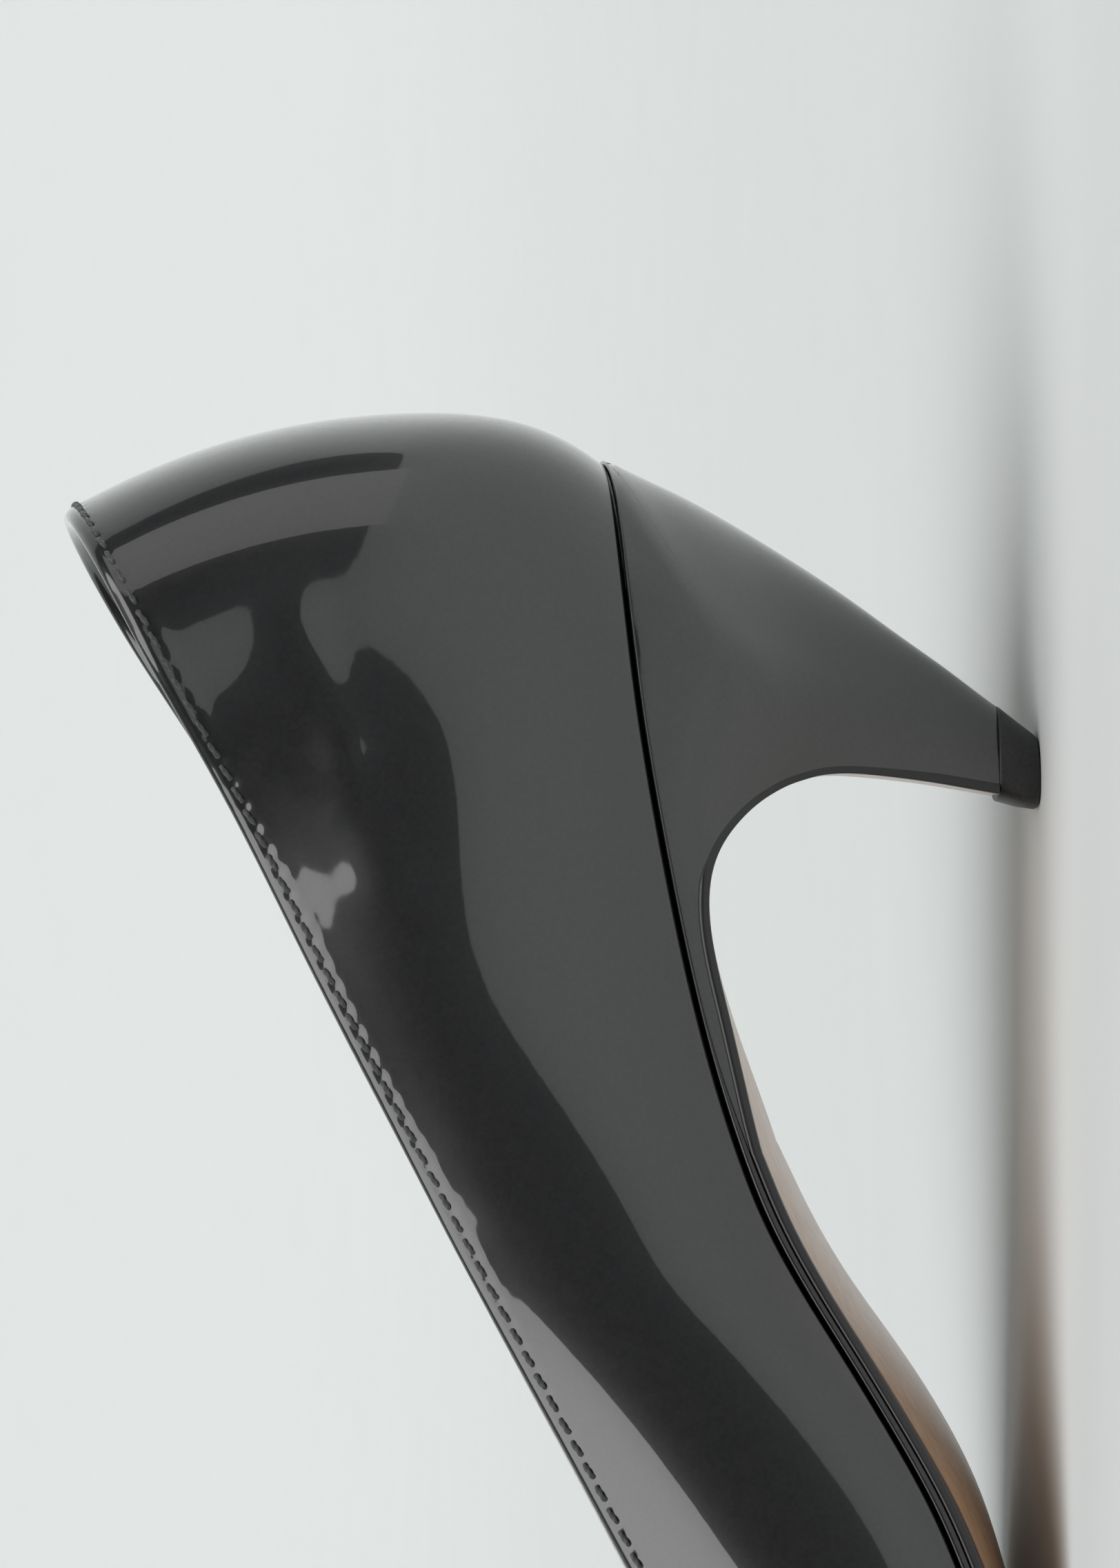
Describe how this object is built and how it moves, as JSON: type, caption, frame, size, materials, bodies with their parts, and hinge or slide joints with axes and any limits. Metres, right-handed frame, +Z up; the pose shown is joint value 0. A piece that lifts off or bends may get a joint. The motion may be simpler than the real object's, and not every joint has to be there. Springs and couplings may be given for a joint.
{
  "type": "high heel pump",
  "caption": "Right-foot court shoe in black patent leather with a soft pointed toe, low topline and a curved heel whose front is covered by the turned-down outsole.",
  "frame": {"origin": "centre of the top lift's ground face, under the heel, on the ground plane", "axes": "+X towards the toe, +Y towards the inner (medial) side of the foot, +Z up"},
  "size_m": [0.2504, 0.0781, 0.1113],
  "materials": {
    "patent_leather": "high gloss patent",
    "lining_leather": "matt",
    "suede": "napped",
    "fibreboard": "matt",
    "interlining": "matt weave",
    "thread": "twisted thread",
    "insole_board": "matt",
    "spring_steel": "plain",
    "cork_foam": "matt",
    "foam": "soft foam",
    "edge_black": "waxed black edge",
    "sole_leather": "smooth tan, black painted edge and flap",
    "heel_plastic": "moulded",
    "black_tpu": "satin"
  },
  "bodies": {
    "root": {"upper": "patent_leather", "vamp_lining": "lining_leather", "quarter_lining": "lining_leather", "heel_grip": "suede", "heel_counter": "fibreboard", "toe_puff": "fibreboard", "vamp_interlining": "interlining", "topline_tape": "interlining", "topline_stitching": "thread", "insole_forepart": "insole_board", "insole_backpart": "fibreboard", "shank": "spring_steel", "shank_rivets": "spring_steel", "bottom_filler": "cork_foam", "seat_filler": "fibreboard", "footbed_cushion": "foam", "sock_lining": "lining_leather", "rand": "edge_black", "outsole": "sole_leather", "heel_core": "heel_plastic", "heel_cover": "patent_leather", "heel_tube": "spring_steel", "top_lift": "black_tpu", "top_lift_pin": "spring_steel", "heel_screw": "spring_steel", "heel_nails": "spring_steel"}
  },
  "joints": []
}
